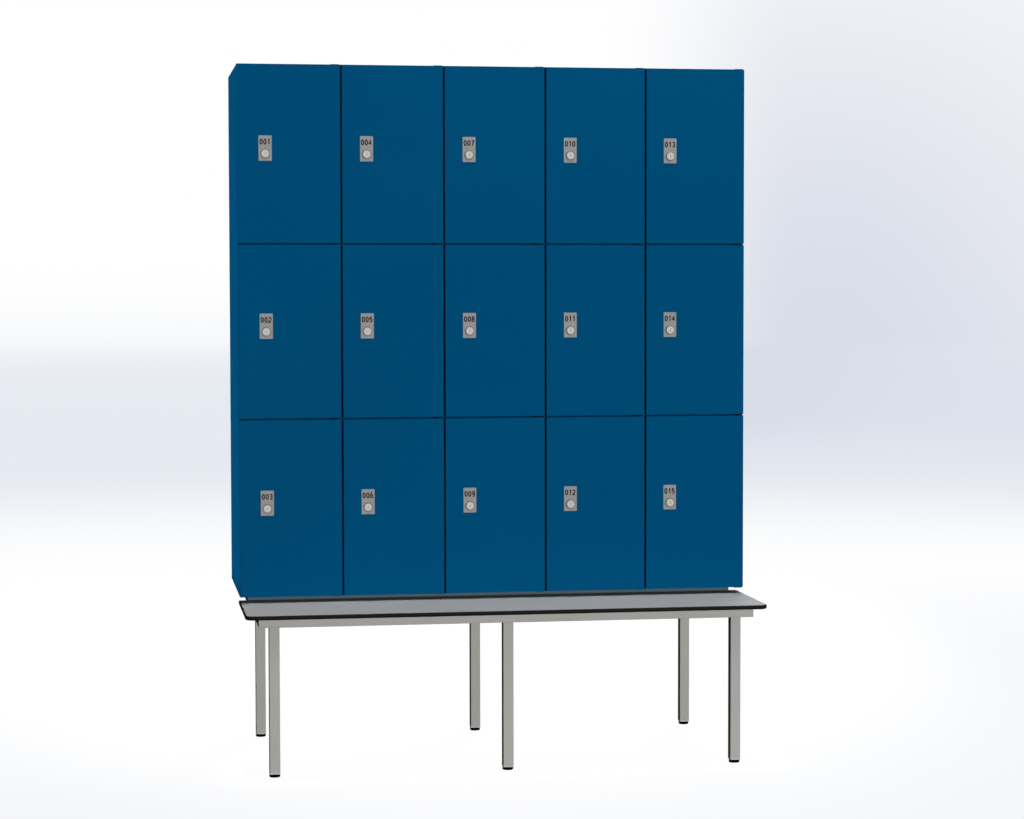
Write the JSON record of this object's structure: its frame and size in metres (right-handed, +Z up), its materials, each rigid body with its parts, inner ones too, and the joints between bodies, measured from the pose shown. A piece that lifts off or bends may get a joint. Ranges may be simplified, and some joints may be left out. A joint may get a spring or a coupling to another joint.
{
  "type": "locker bank on bench",
  "caption": "Tall bank of numbered lockers with flush pivot-hung doors and quarter-turn cam locks, standing on a tube-framed bench with a projecting seat.",
  "frame": {"origin": "on the floor, at the middle of the overall width and depth", "axes": "+Z up, -Y towards the front of the doors and the seat, +X to the right seen from the front"},
  "size_m": [1.5, 0.814, 2.026],
  "materials": {
    "blue_board": "matt blue laminate board",
    "seat_laminate": "grey compact laminate with black edges",
    "frame_paint": "light grey powder coat, satin",
    "steel": "brushed",
    "pivot_steel": "black, thin matt coat",
    "knob_metal": "satin nickel",
    "cap_plastic": "moulded, light grey",
    "foot_plastic": "moulded, black",
    "buffer_rubber": "soft, dark"
  },
  "bodies": {
    "locker_frame": {"side_panels": "blue_board", "top_and_base_panels": "blue_board", "partitions": "blue_board", "shelves": "blue_board", "back_panel": "blue_board", "door_pivots": "pivot_steel", "strike_brackets": "steel", "door_buffers": "buffer_rubber", "seat_slab": "seat_laminate", "bench_rails": "frame_paint", "plinth_rails": "frame_paint", "legs": "frame_paint", "leg_end_caps": "cap_plastic", "feet": "foot_plastic", "fasteners": "steel"},
    "door_leaf_001": {"door_001": "blue_board", "door_hardware_001": "steel"},
    "lock_turn_001": {"lock_knob_001": "knob_metal"},
    "door_leaf_002": {"door_002": "blue_board", "door_hardware_002": "steel"},
    "lock_turn_002": {"lock_knob_002": "knob_metal"},
    "door_leaf_003": {"door_003": "blue_board", "door_hardware_003": "steel"},
    "lock_turn_003": {"lock_knob_003": "knob_metal"},
    "door_leaf_004": {"door_004": "blue_board", "door_hardware_004": "steel"},
    "lock_turn_004": {"lock_knob_004": "knob_metal"},
    "door_leaf_005": {"door_005": "blue_board", "door_hardware_005": "steel"},
    "lock_turn_005": {"lock_knob_005": "knob_metal"},
    "door_leaf_006": {"door_006": "blue_board", "door_hardware_006": "steel"},
    "lock_turn_006": {"lock_knob_006": "knob_metal"},
    "door_leaf_007": {"door_007": "blue_board", "door_hardware_007": "steel"},
    "lock_turn_007": {"lock_knob_007": "knob_metal"},
    "door_leaf_008": {"door_008": "blue_board", "door_hardware_008": "steel"},
    "lock_turn_008": {"lock_knob_008": "knob_metal"},
    "door_leaf_009": {"door_009": "blue_board", "door_hardware_009": "steel"},
    "lock_turn_009": {"lock_knob_009": "knob_metal"},
    "door_leaf_010": {"door_010": "blue_board", "door_hardware_010": "steel"},
    "lock_turn_010": {"lock_knob_010": "knob_metal"},
    "door_leaf_011": {"door_011": "blue_board", "door_hardware_011": "steel"},
    "lock_turn_011": {"lock_knob_011": "knob_metal"},
    "door_leaf_012": {"door_012": "blue_board", "door_hardware_012": "steel"},
    "lock_turn_012": {"lock_knob_012": "knob_metal"},
    "door_leaf_013": {"door_013": "blue_board", "door_hardware_013": "steel"},
    "lock_turn_013": {"lock_knob_013": "knob_metal"},
    "door_leaf_014": {"door_014": "blue_board", "door_hardware_014": "steel"},
    "lock_turn_014": {"lock_knob_014": "knob_metal"},
    "door_leaf_015": {"door_015": "blue_board", "door_hardware_015": "steel"},
    "lock_turn_015": {"lock_knob_015": "knob_metal"}
  },
  "joints": [
    {"name": "door_001_hinge", "type": "hinge", "parent": "locker_frame", "child": "door_leaf_001", "pos_m": [-0.4605, -0.107, 1.76675], "axis": [0, 0, 1], "range_deg": [0, 110]},
    {"name": "lock_001_turn", "type": "hinge", "parent": "door_leaf_001", "child": "lock_turn_001", "pos_m": [-0.6695, -0.113, 1.76675], "axis": [0, 1, 0], "range_deg": [0, 90]},
    {"name": "door_002_hinge", "type": "hinge", "parent": "locker_frame", "child": "door_leaf_002", "pos_m": [-0.4605, -0.107, 1.254], "axis": [0, 0, 1], "range_deg": [0, 110]},
    {"name": "lock_002_turn", "type": "hinge", "parent": "door_leaf_002", "child": "lock_turn_002", "pos_m": [-0.6695, -0.113, 1.254], "axis": [0, 1, 0], "range_deg": [0, 90]},
    {"name": "door_003_hinge", "type": "hinge", "parent": "locker_frame", "child": "door_leaf_003", "pos_m": [-0.4605, -0.107, 0.74125], "axis": [0, 0, 1], "range_deg": [0, 110]},
    {"name": "lock_003_turn", "type": "hinge", "parent": "door_leaf_003", "child": "lock_turn_003", "pos_m": [-0.6695, -0.113, 0.74125], "axis": [0, 1, 0], "range_deg": [0, 90]},
    {"name": "door_004_hinge", "type": "hinge", "parent": "locker_frame", "child": "door_leaf_004", "pos_m": [-0.1605, -0.107, 1.76675], "axis": [0, 0, 1], "range_deg": [0, 110]},
    {"name": "lock_004_turn", "type": "hinge", "parent": "door_leaf_004", "child": "lock_turn_004", "pos_m": [-0.3765, -0.113, 1.76675], "axis": [0, 1, 0], "range_deg": [0, 90]},
    {"name": "door_005_hinge", "type": "hinge", "parent": "locker_frame", "child": "door_leaf_005", "pos_m": [-0.1605, -0.107, 1.254], "axis": [0, 0, 1], "range_deg": [0, 110]},
    {"name": "lock_005_turn", "type": "hinge", "parent": "door_leaf_005", "child": "lock_turn_005", "pos_m": [-0.3765, -0.113, 1.254], "axis": [0, 1, 0], "range_deg": [0, 90]},
    {"name": "door_006_hinge", "type": "hinge", "parent": "locker_frame", "child": "door_leaf_006", "pos_m": [-0.1605, -0.107, 0.74125], "axis": [0, 0, 1], "range_deg": [0, 110]},
    {"name": "lock_006_turn", "type": "hinge", "parent": "door_leaf_006", "child": "lock_turn_006", "pos_m": [-0.3765, -0.113, 0.74125], "axis": [0, 1, 0], "range_deg": [0, 90]},
    {"name": "door_007_hinge", "type": "hinge", "parent": "locker_frame", "child": "door_leaf_007", "pos_m": [0.1395, -0.107, 1.76675], "axis": [0, 0, 1], "range_deg": [0, 110]},
    {"name": "lock_007_turn", "type": "hinge", "parent": "door_leaf_007", "child": "lock_turn_007", "pos_m": [-0.0765, -0.113, 1.76675], "axis": [0, 1, 0], "range_deg": [0, 90]},
    {"name": "door_008_hinge", "type": "hinge", "parent": "locker_frame", "child": "door_leaf_008", "pos_m": [0.1395, -0.107, 1.254], "axis": [0, 0, 1], "range_deg": [0, 110]},
    {"name": "lock_008_turn", "type": "hinge", "parent": "door_leaf_008", "child": "lock_turn_008", "pos_m": [-0.0765, -0.113, 1.254], "axis": [0, 1, 0], "range_deg": [0, 90]},
    {"name": "door_009_hinge", "type": "hinge", "parent": "locker_frame", "child": "door_leaf_009", "pos_m": [0.1395, -0.107, 0.74125], "axis": [0, 0, 1], "range_deg": [0, 110]},
    {"name": "lock_009_turn", "type": "hinge", "parent": "door_leaf_009", "child": "lock_turn_009", "pos_m": [-0.0765, -0.113, 0.74125], "axis": [0, 1, 0], "range_deg": [0, 90]},
    {"name": "door_010_hinge", "type": "hinge", "parent": "locker_frame", "child": "door_leaf_010", "pos_m": [0.4395, -0.107, 1.76675], "axis": [0, 0, 1], "range_deg": [0, 110]},
    {"name": "lock_010_turn", "type": "hinge", "parent": "door_leaf_010", "child": "lock_turn_010", "pos_m": [0.2235, -0.113, 1.76675], "axis": [0, 1, 0], "range_deg": [0, 90]},
    {"name": "door_011_hinge", "type": "hinge", "parent": "locker_frame", "child": "door_leaf_011", "pos_m": [0.4395, -0.107, 1.254], "axis": [0, 0, 1], "range_deg": [0, 110]},
    {"name": "lock_011_turn", "type": "hinge", "parent": "door_leaf_011", "child": "lock_turn_011", "pos_m": [0.2235, -0.113, 1.254], "axis": [0, 1, 0], "range_deg": [0, 90]},
    {"name": "door_012_hinge", "type": "hinge", "parent": "locker_frame", "child": "door_leaf_012", "pos_m": [0.4395, -0.107, 0.74125], "axis": [0, 0, 1], "range_deg": [0, 110]},
    {"name": "lock_012_turn", "type": "hinge", "parent": "door_leaf_012", "child": "lock_turn_012", "pos_m": [0.2235, -0.113, 0.74125], "axis": [0, 1, 0], "range_deg": [0, 90]},
    {"name": "door_013_hinge", "type": "hinge", "parent": "locker_frame", "child": "door_leaf_013", "pos_m": [0.741, -0.107, 1.76675], "axis": [0, 0, 1], "range_deg": [0, 110]},
    {"name": "lock_013_turn", "type": "hinge", "parent": "door_leaf_013", "child": "lock_turn_013", "pos_m": [0.5235, -0.113, 1.76675], "axis": [0, 1, 0], "range_deg": [0, 90]},
    {"name": "door_014_hinge", "type": "hinge", "parent": "locker_frame", "child": "door_leaf_014", "pos_m": [0.741, -0.107, 1.254], "axis": [0, 0, 1], "range_deg": [0, 110]},
    {"name": "lock_014_turn", "type": "hinge", "parent": "door_leaf_014", "child": "lock_turn_014", "pos_m": [0.5235, -0.113, 1.254], "axis": [0, 1, 0], "range_deg": [0, 90]},
    {"name": "door_015_hinge", "type": "hinge", "parent": "locker_frame", "child": "door_leaf_015", "pos_m": [0.741, -0.107, 0.74125], "axis": [0, 0, 1], "range_deg": [0, 110]},
    {"name": "lock_015_turn", "type": "hinge", "parent": "door_leaf_015", "child": "lock_turn_015", "pos_m": [0.5235, -0.113, 0.74125], "axis": [0, 1, 0], "range_deg": [0, 90]}
  ]
}
